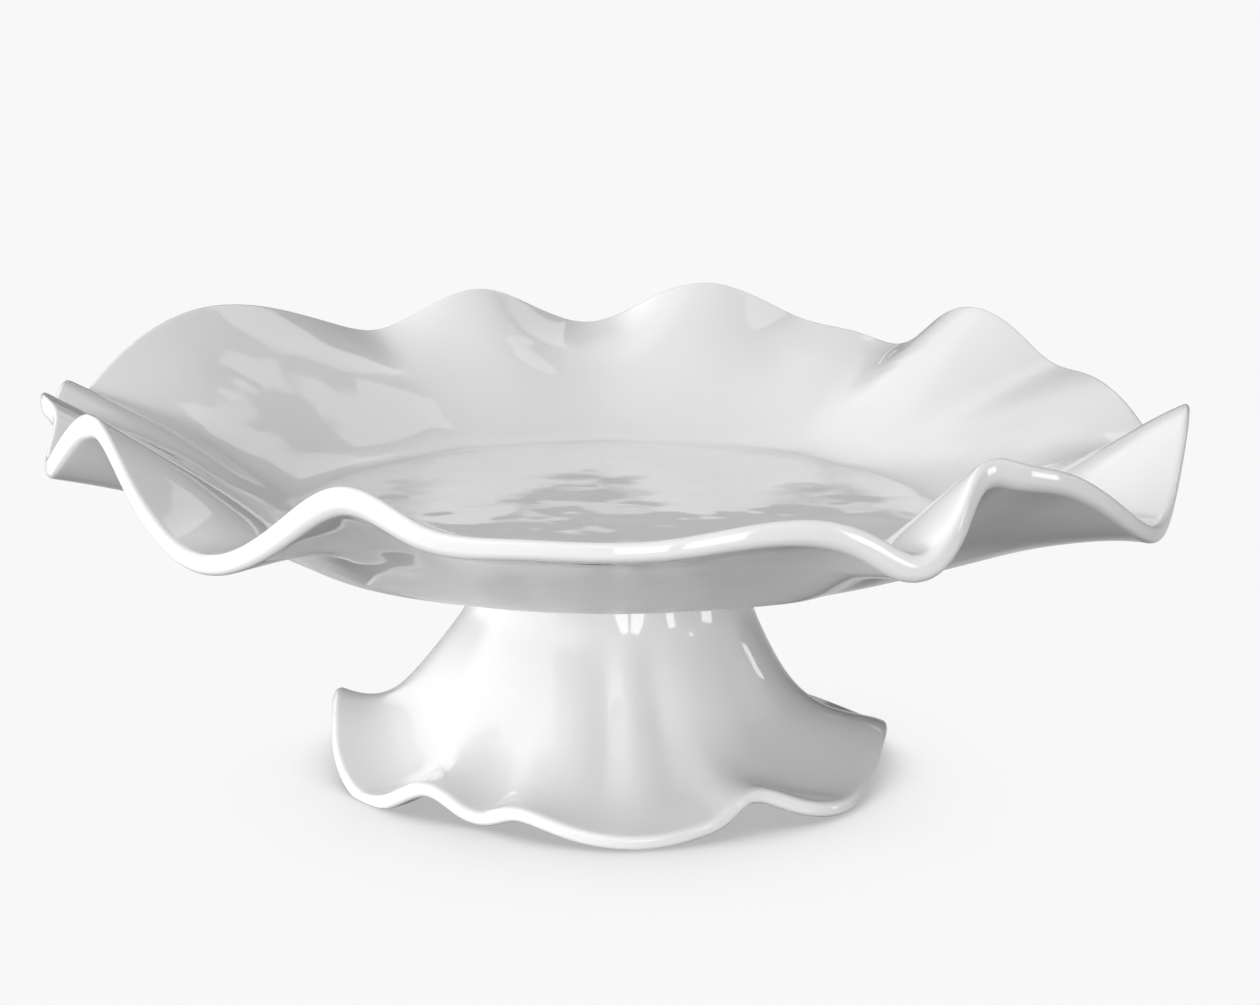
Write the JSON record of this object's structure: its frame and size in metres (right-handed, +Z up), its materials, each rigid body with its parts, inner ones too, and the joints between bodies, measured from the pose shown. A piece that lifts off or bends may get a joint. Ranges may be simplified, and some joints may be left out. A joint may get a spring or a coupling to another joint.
{
  "type": "cake stand",
  "caption": "Glossy white cake stand: a wide ruffled plate clamped on a hollow flared pedestal whose foot is ruffled to match.",
  "frame": {"origin": "on the table, under the middle of the stand, level with the lowest points of the foot", "axes": "+Z up along the pedestal's axis; -Y towards the front, the side with the long flat stretch of rim; +X to the right"},
  "size_m": [0.3673, 0.3729, 0.1373],
  "materials": {
    "plate_glaze": "white melamine, polished to a high gloss",
    "pedestal_glaze": "white melamine, polished to a high gloss",
    "gasket": "milky silicone, satin",
    "insert_brass": "machined",
    "screw_steel": "zinc plated",
    "lock_steel": "spring steel, zinc plated",
    "washer_steel": "zinc plated, stamped",
    "cushion": "black rubber, matt"
  },
  "bodies": {
    "root": {"plate": "plate_glaze", "pedestal": "pedestal_glaze", "seat_gasket": "gasket", "threaded_insert": "insert_brass", "clamp_screw": "screw_steel", "lock_washer": "lock_steel", "flat_washer": "washer_steel", "cushion_washer": "cushion"}
  },
  "joints": []
}
